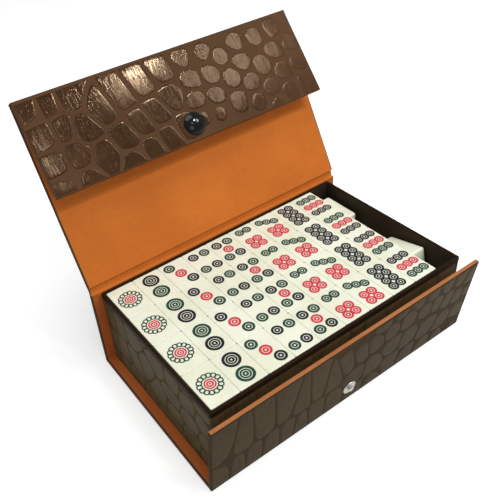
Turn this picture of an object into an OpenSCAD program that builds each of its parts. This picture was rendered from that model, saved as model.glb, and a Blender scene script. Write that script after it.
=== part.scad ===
// Book-style folding case for a set of mahjong tiles.
// Five covered boards (base, spine, lid, closing flap, front panel) fold round an open tray.
// Origin: centre of the base's underside. X runs along the case, +Y to the spine, +Z up.
// Every folding board is drawn shut, in its own flat frame, and then swung to the open pose.

/* [Tiles] */
// Length of a tile
tile_length = 30; // [26:0.5:38]
// Width of a tile
tile_width = 20; // [17:0.5:26]
// Thickness of a tile
tile_thickness = 14.5; // [12:0.5:20]
// Gap between neighbouring tiles
tile_gap = 0.06; // [0.02:0.02:0.4]
// Radius of the tile's rounded edges
tile_edge = 1.6; // [0.6:0.1:2]
// Tilt of the loose tile in the gap, in degrees
spare_tilt = 13.5; // [0:0.5:16]

/* [Tray] */
// Free length at the tray's right end, where the spare tiles stand
spare_gap = 18.1; // [17:0.1:24]
// Thickness of the tray's board
tray_board = 1.6; // [1.2:0.1:3]
// Thickness of the leatherette on the tray's outside
tray_wrap_t = 0.35; // [0.3:0.05:0.6]
// Thickness of the paper inside the tray
tray_lining_t = 0.25; // [0.2:0.05:0.5]
// Play between the tiles and the tray's long walls, on each side
tile_play = 0.25; // [0.1:0.05:1]
// Play at the left end of the tile rows
end_play = 0.3; // [0.1:0.05:1]
// How far the rim stands above the tiles
rim_rise = 0.2; // [0:0.1:3]
// Radius of the tray's upright corners
tray_corner = 1.2; // [0.8:0.1:2]

/* [Boards] */
// Thickness of the case's greyboard
board_t = 2.2; // [1.6:0.1:3.5]
// Thickness of the leatherette
leather_t = 0.4; // [0.3:0.05:0.8]
// Thickness of the lining paper
lining_t = 0.3; // [0.2:0.05:0.6]
// How far the case's boards stand out past each end of the tray
overhang = 7.1; // [3:0.1:15]
// Width of the leatherette turned over a board's edges
turn_in = 2.6; // [1.5:0.1:6]
// Radius of a board's corners
board_corner = 1.4; // [0.8:0.1:4]

/* [Folds] */
// Radius of the round fold between two boards
fold_radius = 0.4; // [0.4:0.05:0.8]
// Gap between a fold and the sheet that leads up to it
fold_gap = 0.12; // [0.05:0.01:0.3]
// Air between the tray's rim and the shut lid
lid_air = 0.65; // [0.4:0.05:2]
// Air between the tray and the shut front panel
front_air = 0.2; // [0.1:0.05:1]
// Air between the shut front panel and the flap over it
flap_air = 1.4; // [1.3:0.1:3]
// Drop of the front panel's top edge below the tray's rim
front_drop = 0.95; // [0.5:0.05:6]
// Air below the shut flap and the front panel
foot_air = 1.2; // [1.1:0.1:5]

/* [Open pose] */
// Lean of the open lid behind the upright
lid_lean = 28.8; // [0:0.1:35]
// Angle of the folded flap out from straight down
flap_out = 40; // [12:0.1:46]
// Lean of the open front panel
front_lean = 6.5; // [0:0.1:20]

/* [Snap] */
// Height of the snap above the floor when the case is shut
snap_height = 12.8; // [10:0.1:40]
// Diameter of the domed cap
cap_d = 16; // [12:0.5:20]
// Height of the domed cap
cap_h = 3.2; // [2.5:0.1:4]
// Wall of the pressed cap
cap_wall = 0.5; // [0.3:0.1:0.8]
// Diameter of the cap's shank
shank_d = 3; // [2.4:0.1:3.4]
// Diameter of the socket's flange
socket_d = 11; // [10:0.5:14]
// Diameter of the socket's cup
socket_cup_d = 8; // [7:0.1:9]
// Diameter of the ring on the stud
stud_d = 10.4; // [8:0.1:12]
// Diameter of the ball on the stud
ball_d = 4.2; // [3.6:0.1:4.4]
// Diameter of the wire of the spring ring
spring_wire = 0.5; // [0.4:0.05:0.6]

/* [Hidden] */
$fn = 48;
cut = 1;                    // how far a cutting tool runs past a face
panel_t = leather_t + board_t + lining_t;

// Tray and tiles
columns = 9;                // nine ranks in a suit
rows = 4;                   // four tiles of each kind
layers = 4;                 // three suits, and one layer of honours and flowers
tray_wall = tray_wrap_t + tray_board + tray_lining_t;
tile_z = panel_t + tray_board + tray_lining_t;
tile_top = tile_z + layers * tile_thickness;
rim_z = tile_top + rim_rise;
wall_top = rim_z - tray_wrap_t;
wall_in = tray_wrap_t + tray_board;
field_x = columns * tile_width;
field_y = rows * tile_length;
tray_x = tray_wall + (end_play + field_x + spare_gap) / 2;
tray_y = tray_wall + tile_play + field_y / 2;
field_left = -tray_x + tray_wall + end_play;
case_x = tray_x + overhang;

// Spine and lid
edge_gap = 0.25;            // air between two boards' edges where they meet at a fold
board_set = 0.1;            // how far a board's edge stands past the tray's wall
fold_slack = 1.6;           // bare sheet between the spine's board and the lid's fold
spine_top = rim_z + lid_air + panel_t - fold_radius;
spine_fold = [0, tray_y + panel_t - fold_radius, spine_top];
base_fold_y = spine_fold[1];

// Front panel, its fold at the floor, and the flap
front_face = -(tray_y + front_air);
front_fold = [0, front_face - panel_t + fold_radius, fold_radius];
front_h = rim_z - front_drop - fold_radius;
flap_face = front_face - panel_t - flap_air;
lid_fold = [0, -(tray_y + board_set + 2 * fold_radius), spine_top];
flap_fold = [0, flap_face - panel_t + fold_radius, spine_top];
strip_l = lid_fold[1] - flap_fold[1];
lid_l = spine_fold[1] - lid_fold[1];
flap_start = 2 * fold_radius + board_set;
flap_l = spine_top - foot_air - board_set;

// Open pose
lid_open = 90 + lid_lean;
crest_fold = (180 - (flap_out - lid_lean)) / 2;

// Snap, along the flap and along the front panel
snap_on_flap = spine_top - snap_height;
snap_on_front = snap_height - fold_radius;
socket_proud = 0.6;
socket_seat = 0.7;          // board left under the socket's cup
socket_depth = board_t + lining_t - socket_seat;
socket_floor = 0.4;
stud_flange = 0.4;
bore_play = 0.1;
bore_d = ball_d + 4 * bore_play;
neck_d = ball_d - 1;
ball_rim = 0.4;             // radius of the round edge of the stud's head
spring_grip = 0.3;          // how much the ring is tighter than the head
spring_r = (ball_d - spring_grip + spring_wire) / 2;
spring_lift = 0.2;          // of the ring above the lining
clinch_h = 0.2;
clinch_d = shank_d + 0.8;
tip_play = 0.35;            // air before the head in the shut snap
ball_reach = flap_air + socket_depth - socket_floor - clinch_h - tip_play;
head_t = 0.7;               // metal left above the rivet in the head
post_d = 2.4;
post_head_d = 8;
post_head_t = 0.35;
stud_bore_d = post_d + 2 * bore_play;
rivet_rise = ball_reach - head_t - bore_play;

// ---------------------------------------------------------------- shapes

// Rectangle with round corners, its near left corner at the origin
module round_rect(size, r) {
    translate([r, 0]) square([size[0] - 2 * r, size[1]]);
    translate([0, r]) square([size[0], size[1] - 2 * r]);
    for (x = [r, size[0] - r], y = [r, size[1] - r])
        translate([x, y]) circle(r = r);
}

// Section in Y and Z, drawn out along X about the middle
module along_x(length) {
    rotate([90, 0, 90]) linear_extrude(length, center = true) children();
}

// Block whose twelve edges are round, about its centre
module round_block(size, r) {
    intersection() {
        linear_extrude(size[2], center = true)
            translate([-size[0] / 2, -size[1] / 2]) round_rect([size[0], size[1]], r);
        rotate([90, 0, 0]) linear_extrude(size[1], center = true)
            translate([-size[0] / 2, -size[2] / 2]) round_rect([size[0], size[2]], r);
        along_x(size[0])
            translate([-size[1] / 2, -size[2] / 2]) round_rect([size[1], size[2]], r);
    }
}

// ---------------------------------------------------------------- covered boards
// A board's flat frame: X along the case, Y away from the fold it hangs on, Z inwards
// from the outer face. The fold's axis lies at Y = 0 and Z = fold_radius.

// Greyboard between the distances from and to
module board(from, to) {
    translate([-case_x + leather_t, from, leather_t])
        cube([2 * (case_x - leather_t), to - from, board_t]);
}

// Leatherette round a board: the outer sheet runs from first to last, its ends are turned over
// the board, and so is the free edge where the board has one
module cover(from, to, first, last, free_edge = false) {
    far = free_edge ? to + leather_t : to;
    pocket_end = free_edge ? to : to + cut;
    window_end = free_edge ? far - turn_in : far + cut;
    difference() {
        union() {
            translate([-case_x, first, 0]) cube([2 * case_x, last - first, leather_t]);
            translate([-case_x, from, 0]) cube([2 * case_x, far - from, panel_t]);
        }
        translate([-case_x + leather_t, from - cut, leather_t])
            cube([2 * (case_x - leather_t), pocket_end - from + cut, board_t]);
        translate([-case_x + turn_in, from - cut, leather_t + board_t - cut])
            cube([2 * (case_x - turn_in), window_end - from + cut, lining_t + 2 * cut]);
        if (free_edge) free_corners(far);
    }
}

// Takes the sharp corners off the free edge of a board at the distance far
module free_corners(far) {
    for (side = [-1, 1])
        translate([side * (case_x - board_corner), far - board_corner, -cut])
            difference() {
                translate([side > 0 ? 0 : -2 * board_corner, 0, 0])
                    cube([2 * board_corner, 2 * board_corner, panel_t + 2 * cut]);
                cylinder(r = board_corner, h = panel_t + 2 * cut);
            }
}

// Round fold along the case at the frame's origin
module fold_bead() {
    translate([0, 0, fold_radius]) along_x(2 * case_x) circle(r = fold_radius);
}

// Lining paper on the board, inside the turned leatherette
module lining(from, to) {
    translate([-case_x + turn_in, from, leather_t + board_t])
        cube([2 * (case_x - turn_in), to - from, lining_t]);
}

// ---------------------------------------------------------------- places of the boards

module on_base() translate([0, base_fold_y, 0]) rotate([0, 0, 180]) children();
module on_spine() translate([0, tray_y + panel_t, fold_radius]) rotate([90, 0, 0]) children();
module swing(axis, angle) translate(axis) rotate([angle, 0, 0]) translate(-axis) children();
module with_lid() swing(spine_fold, -lid_open) children();
module with_strip() with_lid() swing(lid_fold, crest_fold) children();
module with_flap() with_strip() swing(flap_fold, crest_fold - 90) children();
module with_front() swing(front_fold, front_lean) children();
module on_lid() with_lid()
    translate([0, spine_fold[1], spine_top + fold_radius]) rotate([180, 0, 0]) children();
module on_strip() with_strip()
    translate([0, lid_fold[1], spine_top + fold_radius]) rotate([180, 0, 0]) children();
module on_flap() with_flap()
    translate([0, flap_fold[1] - fold_radius, spine_top]) rotate([-90, 0, 0]) children();
module on_front() with_front()
    translate([0, front_fold[1] - fold_radius, fold_radius]) rotate([90, 0, 180]) children();

// Distances of each board's edges from the fold it hangs on
base_from = base_fold_y - tray_y;
base_to = base_fold_y + tray_y;
base_sheet = base_fold_y - front_fold[1] - fold_radius - fold_gap;
spine_from = panel_t + board_set - fold_radius;
spine_to = spine_top - fold_radius - fold_slack;
spine_sheet = spine_top - 2 * fold_radius - fold_gap;
lid_from = spine_fold[1] - tray_y + edge_gap;
lid_to = lid_l - 2 * fold_radius;
lid_sheet = lid_l - fold_radius - fold_gap;
front_from = foot_air - fold_radius;
flap_to = flap_l - leather_t;
front_to = front_h - lining_t;

// ---------------------------------------------------------------- base

module base_board() color("tan") on_base() board(base_from, base_to);

module base_cover() color([0.26, 0.18, 0.12])
    on_base() cover(base_from, base_to, fold_radius, base_sheet);

module base_lining() color([0.77, 0.42, 0.18]) on_base() lining(base_from, base_to);

// ---------------------------------------------------------------- spine

module spine_board() color("tan") on_spine() board(spine_from, spine_to);

module spine_cover() color([0.26, 0.18, 0.12]) on_spine() {
    cover(spine_from, spine_to, 0, spine_sheet);
    fold_bead();
}

module spine_lining() color([0.77, 0.42, 0.18]) on_spine() lining(spine_from, spine_to);

// ---------------------------------------------------------------- lid

module lid_board() color("tan") on_lid() board(lid_from, lid_to);

module lid_cover() color([0.26, 0.18, 0.12]) on_lid() {
    cover(lid_from, lid_to, 0, lid_sheet);
    fold_bead();
}

module lid_lining() color([0.77, 0.42, 0.18]) on_lid() lining(lid_from, lid_to);

// ---------------------------------------------------------------- strip between lid and flap

// Flat strip with a round fold along both edges, and the lining let into its inner side
module flap_strip() color([0.26, 0.18, 0.12]) on_strip()
    difference() {
        union() {
            fold_bead();
            translate([0, strip_l, 0]) fold_bead();
            translate([-case_x, 0, 0]) cube([2 * case_x, strip_l, 2 * fold_radius]);
        }
        translate([-case_x + turn_in, fold_radius, 2 * fold_radius - lining_t])
            cube([2 * (case_x - turn_in), strip_l - 2 * fold_radius, lining_t + cut]);
    }

module flap_strip_lining() color([0.77, 0.42, 0.18]) on_strip()
    translate([-case_x + turn_in, fold_radius, 2 * fold_radius - lining_t])
        cube([2 * (case_x - turn_in), strip_l - 2 * fold_radius, lining_t]);

// ---------------------------------------------------------------- flap

module flap_board() color("tan") on_flap() difference() {
    board(flap_start, flap_to);
    snap_hole(snap_on_flap, socket_cup_d + 2 * bore_play, panel_t - socket_depth, panel_t);
    snap_hole(snap_on_flap, shank_d + 2 * bore_play, 0, panel_t);
}

module flap_cover() color([0.26, 0.18, 0.12]) on_flap() difference() {
    cover(flap_start, flap_to, fold_radius + fold_gap, flap_l, true);
    snap_hole(snap_on_flap, shank_d + 2 * bore_play, 0, panel_t);
}

module flap_lining() color([0.77, 0.42, 0.18]) on_flap() difference() {
    lining(flap_start, flap_to + leather_t - turn_in);
    snap_hole(snap_on_flap, socket_cup_d + 2 * bore_play, 0, panel_t);
}

// ---------------------------------------------------------------- front panel

module front_board() color("tan") on_front() difference() {
    board(front_from, front_to);
    snap_hole(snap_on_front, post_d + 2 * bore_play, 0, panel_t);
    snap_hole(snap_on_front, post_head_d + 2 * bore_play,
        leather_t + board_t - post_head_t, panel_t);
}

// The sheet ends at the top edge, where the lining is turned over the board
module front_cover() color([0.29, 0.25, 0.2]) on_front() {
    difference() {
        cover(front_from, front_to, 0, front_to + lining_t);
        snap_hole(snap_on_front, post_d + 2 * bore_play, 0, panel_t);
    }
    fold_bead();
}

module front_lining() color([0.77, 0.42, 0.18]) on_front() {
    lining(front_from, front_to);
    translate([-case_x, front_to, leather_t]) cube([2 * case_x, lining_t, panel_t - leather_t]);
}

// ---------------------------------------------------------------- tray

// Upright ring between two outlines, each given by how far it lies inside the tray's outside
module tray_ring(outer, inner, from, to, r) {
    difference() {
        translate([-tray_x + outer, -tray_y + outer, from])
            linear_extrude(to - from)
                round_rect([2 * (tray_x - outer), 2 * (tray_y - outer)], r);
        translate([-tray_x + inner, -tray_y + inner, from - cut])
            linear_extrude(to - from + 2 * cut)
                square([2 * (tray_x - inner), 2 * (tray_y - inner)]);
    }
}

module tray_floor() color("tan")
    translate([-tray_x + wall_in, -tray_y + wall_in, panel_t])
        cube([2 * (tray_x - wall_in), 2 * (tray_y - wall_in), tray_board]);

module long_wall() color("tan")
    translate([-tray_x + tray_wrap_t, tray_y - wall_in, panel_t])
        cube([2 * (tray_x - tray_wrap_t), tray_board, wall_top - panel_t]);

module end_wall() color("tan")
    translate([tray_x - wall_in, -tray_y + wall_in, panel_t])
        cube([tray_board, 2 * (tray_y - wall_in), wall_top - panel_t]);

module tray_back_wall() long_wall();
module tray_front_wall() rotate([0, 0, 180]) long_wall();
module tray_right_wall() end_wall();
module tray_left_wall() rotate([0, 0, 180]) end_wall();

// Leatherette round the tray, turned in over the rim
module tray_wrap() color([0.24, 0.17, 0.12]) {
    tray_ring(0, tray_wrap_t, panel_t, wall_top, tray_corner);
    tray_ring(0, tray_wall, wall_top, rim_z, tray_corner);
}

// Paper on the floor and up the walls
module tray_lining() color([0.17, 0.12, 0.07]) {
    tray_ring(wall_in, tray_wall, panel_t + tray_board, wall_top, 0.01);
    translate([-tray_x + tray_wall, -tray_y + tray_wall, panel_t + tray_board])
        cube([2 * (tray_x - tray_wall), 2 * (tray_y - tray_wall), tray_lining_t]);
}

// ---------------------------------------------------------------- snap

// Hole through a board at the snap, between two depths from the outer face
module snap_hole(along, d, from, to) {
    translate([0, along, from - (from <= 0 ? cut : 0)])
        cylinder(d = d, h = to - from + cut + (from <= 0 ? cut : 0));
}

// Domed cap outside the flap, pressed from sheet, with the shank that carries the socket
module snap_cap() color([0.05, 0.05, 0.06]) on_flap() translate([0, snap_on_flap, 0]) {
    r = cap_d / 2;
    rim_r = cap_h / 3;
    // Radius of the dome that rises from the rim's top to the cap's height
    rise = cap_h - rim_r;
    dome_r = (pow(r - rim_r / 2, 2) + rise * rise) / (2 * rise);
    rotate([180, 0, 0]) rotate_extrude() difference() {
        union() {
            translate([0, rim_r / 2]) square([r - rim_r / 2, rim_r / 2]);
            translate([0, 0]) square([r - rim_r / 2, rim_r]);
            translate([r - rim_r / 2, rim_r / 2]) circle(d = rim_r);
            intersection() {
                translate([0, cap_h - dome_r]) circle(r = dome_r, $fn = 180);
                translate([0, rim_r]) square([r, cap_h]);
            }
        }
        translate([-2 * r, -cut]) square([2 * r, cap_h + 2 * cut]);
        intersection() {
            translate([0, cap_h - dome_r]) circle(r = dome_r - cap_wall, $fn = 180);
            translate([shank_d / 2, cap_wall]) square([r - rim_r - cap_wall - shank_d / 2, cap_h]);
        }
    }
    cylinder(d = shank_d, h = panel_t - socket_depth + socket_floor);
    translate([0, 0, panel_t - socket_depth + socket_floor])
        cylinder(d = clinch_d, h = clinch_h);
}

// Cup let into the flap's inner side, with the flange that covers the hole's edge
module snap_socket() color("silver") on_flap()
    translate([0, snap_on_flap, panel_t - socket_depth]) rotate_extrude() difference() {
        union() {
            square([socket_cup_d / 2, socket_depth + socket_proud]);
            translate([0, socket_depth])
                square([socket_d / 2 - socket_proud / 2, socket_proud]);
            translate([socket_d / 2 - socket_proud / 2, socket_depth + socket_proud / 2])
                circle(d = socket_proud);
        }
        translate([-socket_d, -cut]) square([socket_d, socket_depth + socket_proud + 2 * cut]);
        translate([0, -cut]) square([shank_d / 2 + bore_play, 2 * cut]);
        translate([0, socket_floor])
            square([bore_d / 2, socket_depth + socket_proud]);
        // groove that holds the spring ring
        translate([spring_r, socket_depth + spring_lift])
            circle(d = spring_wire + bore_play);
    }

// Split wire ring in the socket's groove, which grips the ball's neck
module snap_spring() color("silver") on_flap()
    translate([0, snap_on_flap, panel_t + spring_lift])
        rotate([0, 0, 105]) rotate_extrude(angle = 330)
            translate([spring_r, 0]) circle(d = spring_wire, $fn = 24);

// Ring and ball on the front panel's face
module snap_stud() color("silver") on_front()
    translate([0, snap_on_front, 0]) rotate([180, 0, 0]) rotate_extrude() difference() {
        union() {
            square([stud_d / 2 - stud_flange, stud_flange / 2]);
            translate([stud_d / 2 - stud_flange, stud_flange / 2]) intersection() {
                circle(r = stud_flange);
                translate([-stud_flange, -stud_flange / 2]) square([2 * stud_flange, stud_flange]);
            }
            square([ball_d / 2 + ball_rim, stud_flange]);
            square([neck_d / 2, ball_reach - ball_rim]);
            translate([0, ball_reach - 2 * ball_rim])
                square([ball_d / 2 - ball_rim, 2 * ball_rim]);
            translate([ball_d / 2 - ball_rim, ball_reach - ball_rim]) circle(r = ball_rim);
        }
        translate([0, -cut]) square([stud_bore_d / 2, cut + ball_reach - head_t]);
    }

// Rivet from the back of the front panel, under the lining, up into the ball
module snap_rivet() color("silver") on_front() translate([0, snap_on_front, 0]) {
    translate([0, 0, leather_t + board_t - post_head_t])
        cylinder(d = post_head_d, h = post_head_t);
    translate([0, 0, -rivet_rise])
        cylinder(d = post_d, h = rivet_rise + leather_t + board_t - post_head_t);
}

// ---------------------------------------------------------------- tiles

module tile() round_block([tile_width - tile_gap, tile_length - tile_gap, tile_thickness], tile_edge);

// Tile at a column, row and layer of the tray, each counted from 0, row 0 at the back
module placed_tile(column, row, layer) {
    translate([field_left + (column + 0.5) * tile_width,
        field_y / 2 - (row + 0.5) * tile_length,
        tile_z + (layer + 0.5) * tile_thickness]) tile();
}

// Four like tiles of the top layer, one column
module dot_column(number) color([0.94, 0.93, 0.84])
    for (row = [0:rows - 1]) placed_tile(number - 1, row, layers - 1);

// A run of whole columns of one layer
module tile_block(first, last, layer) color([0.94, 0.93, 0.84])
    for (column = [first:last], row = [0:rows - 1]) placed_tile(column, row, layer);

module dots_1() dot_column(1);
module dots_2() dot_column(2);
module dots_3() dot_column(3);
module dots_4() dot_column(4);
module dots_5() dot_column(5);
module dots_6() dot_column(6);
module dots_7() dot_column(7);
module dots_8() dot_column(8);
module dots_9() dot_column(9);
module bamboo_tiles() tile_block(0, columns - 1, 2);
module character_tiles() tile_block(0, columns - 1, 1);
module wind_tiles() tile_block(0, 3, 0);
module dragon_tiles() tile_block(4, 6, 0);
module flower_tiles() tile_block(7, columns - 1, 0);

// Spare tiles in the gap: two stand on end, and one lies on its long edge above each
spare_left = field_left + field_x;
spare_x = spare_left + 0.1 + tile_thickness / 2;
spare_back_y = field_y / 2 - 0.68 * tile_length;
spare_front_edge = -0.9 * tile_length;
stack_z = tile_z + tile_length;

module standing_tile(y) translate([spare_x, y, tile_z + tile_length / 2])
    rotate([90, 0, 90]) tile();

module spare_tiles_below() color([0.94, 0.93, 0.84]) {
    standing_tile(spare_back_y);
    standing_tile(spare_front_edge - tile_width / 2);
}

module spare_tile_back() color([0.94, 0.93, 0.84])
    translate([spare_x, spare_back_y, stack_z + tile_width / 2]) rotate([0, 90, 0]) tile();

// Tilted tile: its lower face rests on the back edge of the standing tile below it
module spare_tile_front() color([0.94, 0.93, 0.84])
    translate([spare_left + spare_gap - 1 - tile_thickness / 2, spare_front_edge, stack_z])
        rotate([-spare_tilt, 0, 0]) translate([0, 0, tile_width / 2])
            rotate([0, 90, 0]) tile();

base_board();
base_cover();
base_lining();
spine_board();
spine_cover();
spine_lining();
lid_board();
lid_cover();
lid_lining();
flap_strip();
flap_strip_lining();
flap_board();
flap_cover();
flap_lining();
front_board();
front_cover();
front_lining();
tray_floor();
tray_front_wall();
tray_back_wall();
tray_left_wall();
tray_right_wall();
tray_wrap();
tray_lining();
snap_cap();
snap_socket();
snap_spring();
snap_stud();
snap_rivet();
dots_1();
dots_2();
dots_3();
dots_4();
dots_5();
dots_6();
dots_7();
dots_8();
dots_9();
bamboo_tiles();
character_tiles();
wind_tiles();
dragon_tiles();
flower_tiles();
spare_tile_back();
spare_tile_front();
spare_tiles_below();
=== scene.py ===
import math
import random

import bmesh
import bpy
from mathutils import Matrix, Vector


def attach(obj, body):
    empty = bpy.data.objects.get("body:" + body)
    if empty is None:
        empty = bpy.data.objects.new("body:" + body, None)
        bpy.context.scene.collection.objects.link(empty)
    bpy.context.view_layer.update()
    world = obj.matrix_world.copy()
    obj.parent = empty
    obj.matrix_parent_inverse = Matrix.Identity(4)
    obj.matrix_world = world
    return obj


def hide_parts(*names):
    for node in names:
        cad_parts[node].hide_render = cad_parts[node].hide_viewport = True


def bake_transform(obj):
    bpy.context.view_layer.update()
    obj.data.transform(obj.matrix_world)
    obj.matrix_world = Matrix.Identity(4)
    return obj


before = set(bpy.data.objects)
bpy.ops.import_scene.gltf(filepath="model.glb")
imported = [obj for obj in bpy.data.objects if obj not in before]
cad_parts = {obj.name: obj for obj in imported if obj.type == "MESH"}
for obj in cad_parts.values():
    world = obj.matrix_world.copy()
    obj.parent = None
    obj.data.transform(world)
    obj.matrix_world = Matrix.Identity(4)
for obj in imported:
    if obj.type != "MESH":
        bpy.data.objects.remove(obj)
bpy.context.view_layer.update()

# ---------------------------------------------------------------- sizes
# In millimetres, as in the construction. Meshes are made in metres.
MM = 0.001
CASE_X = 108.5                        # half the boards' length
PANEL = 2.9                           # board with its cover and lining
TURN_IN = 1.0                         # cover left to see round the lining paper
TRAY_X, TRAY_Y = 101.4, 62.45         # half the tray, outside
RIM_Z = 62.95                         # top of the tray's rim
TILE = (19.94, 29.94, 14.5)
TILE_PITCH = (20.0, 30.0)
TILE_TOP = 62.75                      # faces of the top layer
TILE_FLOOR = 4.75                     # under the lowest layer
FIELD_LEFT, FIELD_BACK = -98.9, 60.0  # corner of the field of tiles
SNAP_Z = 12.8                         # height of the press stud with the case shut

# Axes of the folds, as Y and Z with the case shut, and how far each is turned in this pose
FOLD_R = 0.4
FOLD_Z = 66.1
SPINE_FOLD = (64.95, FOLD_Z)
LID_FOLD = (-63.35, FOLD_Z)
FLAP_FOLD = (-69.45, FOLD_Z)
FRONT_FOLD = (-65.15, FOLD_R)
LID_OPEN = 118.8
CREST_TURN = 84.4
FLAP_TURN = CREST_TURN - 90           # short of square to the crest strip
FRONT_LEAN = 6.5

# ---------------------------------------------------------------- camera
cam_data = bpy.data.cameras.new("camera")
cam_data.lens = 46.865
cam_data.sensor_width = 36.0
cam_data.shift_x = 0.1
cam_data.shift_y = -0.016
cam = bpy.data.objects.new("camera", cam_data)
cam.rotation_mode = "QUATERNION"
cam.location = (-0.2089, -0.25202, 0.34746)
cam.rotation_quaternion = (0.850526, 0.431047, -0.093608, -0.286428)
bpy.context.scene.collection.objects.link(cam)
bpy.context.scene.camera = cam
bpy.context.scene.view_settings.view_transform = "Standard"


# ---------------------------------------------------------------- places of the boards
def turn(fold, degrees):
    """Turn about the X axis through a fold, given by its Y and Z."""
    p = Matrix.Translation((0, *fold))
    return p @ Matrix.Rotation(math.radians(degrees), 4, "X") @ p.inverted()


def flat(y, z, rx=0.0, rz=0.0):
    """Frame at Y and Z on the middle plane, turned about X and then about Z."""
    return (Matrix.Translation((0, y, z)) @ Matrix.Rotation(math.radians(rz), 4, "Z")
            @ Matrix.Rotation(math.radians(rx), 4, "X"))


WITH_LID = turn(SPINE_FOLD, -LID_OPEN)
WITH_CREST = WITH_LID @ turn(LID_FOLD, CREST_TURN)
WITH_FLAP = WITH_CREST @ turn(FLAP_FOLD, FLAP_TURN)
WITH_FRONT = turn(FRONT_FOLD, FRONT_LEAN)
# A board's flat frame: X along the case, Y away from its fold, Z inwards from the outer face
ON = {
    "base": flat(SPINE_FOLD[0], 0, 0, 180),
    "spine": flat(TRAY_Y + PANEL, FOLD_R, 90),
    "lid": WITH_LID @ flat(SPINE_FOLD[0], FOLD_Z + FOLD_R, 180),
    "crest": WITH_CREST @ flat(LID_FOLD[0], FOLD_Z + FOLD_R, 180),
    "flap": WITH_FLAP @ flat(FLAP_FOLD[0] - FOLD_R, FOLD_Z, -90),
    "front": WITH_FRONT @ flat(FRONT_FOLD[0] - FOLD_R, FOLD_R, 90, 180),
}
CASE = Matrix.Identity(4)
BODY = {"base": "case", "spine": "case", "lid": "lid", "flap": "flap", "front": "front_panel"}
# How far a board reaches from its fold: nearest and farthest Y of the board and of its lining
BOARD = {"base": (2.5, 127.4), "spine": (2.6, 64.1), "lid": (2.75, 127.5), "flap": (0.9, 64.8),
         "front": (0.8, 61.6)}
LINING = {"base": (2.6, 127.3), "spine": (2.7, 64.0), "lid": (2.9, 127.4), "flap": (1.0, 62.2),
          "front": (0.9, 61.3)}
# The press stud's distance from the fold of the flap and of the front panel
SNAP_ON_FLAP = FOLD_Z - SNAP_Z
SNAP_ON_FRONT = SNAP_Z - FOLD_R


# ---------------------------------------------------------------- mesh helpers
def add_object(name, bm, place, material, body, slot, replaces=(), smooth=40, weighted=True):
    """Finishes a mesh made in millimetres in the frame `place` and hangs it on its body."""
    bmesh.ops.recalc_face_normals(bm, faces=bm.faces)
    mesh = bpy.data.meshes.new(name)
    bm.transform(Matrix.Scale(MM, 4) @ place)
    bm.to_mesh(mesh)
    bm.free()
    obj = bpy.data.objects.new(name, mesh)
    bpy.context.scene.collection.objects.link(obj)
    mesh.materials.append(material)
    mesh.polygons.foreach_set("use_smooth", [True] * len(mesh.polygons))
    mesh.set_sharp_from_angle(angle=math.radians(smooth))
    if weighted:
        obj.modifiers.new("normals", "WEIGHTED_NORMAL").keep_sharp = True
    if body:
        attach(obj, body)
    if replaces:
        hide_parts(*replaces)
    return obj


def bridge(bm, a, b):
    """Faces between two closed rings of vertices. A ring of one vertex is a pole."""
    steps = max(len(a), len(b))
    for i in range(steps if steps > 1 else 0):
        j = (i + 1) % steps
        if len(a) == 1:
            bm.faces.new((a[0], b[j], b[i]))
        elif len(b) == 1:
            bm.faces.new((a[i], a[j], b[0]))
        else:
            bm.faces.new((a[i], a[j], b[j], b[i]))


def bridge_all(bm, rings):
    for a, b in zip(rings, rings[1:]):
        bridge(bm, a, b)


def circle(bm, cx, cy, r, z, steps):
    """Ring of vertices, or a single one where the radius is nothing."""
    if r < 1e-6:
        return [bm.verts.new((cx, cy, z))]
    angles = [2 * math.pi * i / steps for i in range(steps)]
    return [bm.verts.new((cx + r * math.cos(a), cy + r * math.sin(a), z)) for a in angles]


def lathe(bm, profile, steps, y):
    """Revolves (radius, height) points about a line along Z at a distance y from the fold."""
    bridge_all(bm, [circle(bm, 0, y, r, z, steps) for r, z in profile])


def rounded_box(bm, low, high, r, segments):
    """Box between two corners with all edges rounded."""
    verts = [bm.verts.new((x, y, z)) for x in (low[0], high[0])
             for y in (low[1], high[1]) for z in (low[2], high[2])]
    quads = ((0, 1, 3, 2), (4, 6, 7, 5), (0, 4, 5, 1), (2, 3, 7, 6), (0, 2, 6, 4), (1, 5, 7, 3))
    faces = [bm.faces.new([verts[i] for i in q]) for q in quads]
    edges = list({e for f in faces for e in f.edges})
    bmesh.ops.bevel(bm, geom=edges, offset=r, segments=segments, profile=0.5,
                    affect="EDGES", clamp_overlap=True)


def rounded_outline(x, y, radius, segments):
    """Rectangle of half sizes x and y with round corners."""
    points = []
    for quarter, (sx, sy) in enumerate(((1, 1), (-1, 1), (-1, -1), (1, -1))):
        for i in range(segments + 1):
            t = math.pi / 2 * (quarter + i / segments)
            points.append((sx * (x - radius) + radius * math.cos(t),
                           sy * (y - radius) + radius * math.sin(t)))
    return points


def sweep_sheet(bm, path, half, thickness, columns=8):
    """Sheet along a path of (y, z) points, drawn out along X to both sides."""
    points = [Vector((0, y, z)) for y, z in path]
    normals = []
    for i in range(len(points)):
        along = (points[min(i + 1, len(points) - 1)] - points[max(i - 1, 0)]).normalized()
        normals.append(Vector((0, -along.z, along.y)))
    faces = []
    for offset in (0, thickness):
        face = []
        for p, n in zip(points, normals):
            q = p + n * offset
            face.append([bm.verts.new((-half + 2 * half * c / columns, q.y, q.z))
                         for c in range(columns + 1)])
        faces.append(face)
    rows = len(points)
    for g in faces:
        for i in range(rows - 1):
            for c in range(columns):
                bm.faces.new((g[i][c], g[i][c + 1], g[i + 1][c + 1], g[i + 1][c]))
    a, b = faces
    for i in range(rows - 1):
        for c in (0, columns):
            bm.faces.new((a[i][c], a[i + 1][c], b[i + 1][c], b[i][c]))
    for i in (0, rows - 1):
        for c in range(columns):
            bm.faces.new((a[i][c], a[i][c + 1], b[i][c + 1], b[i][c]))


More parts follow.
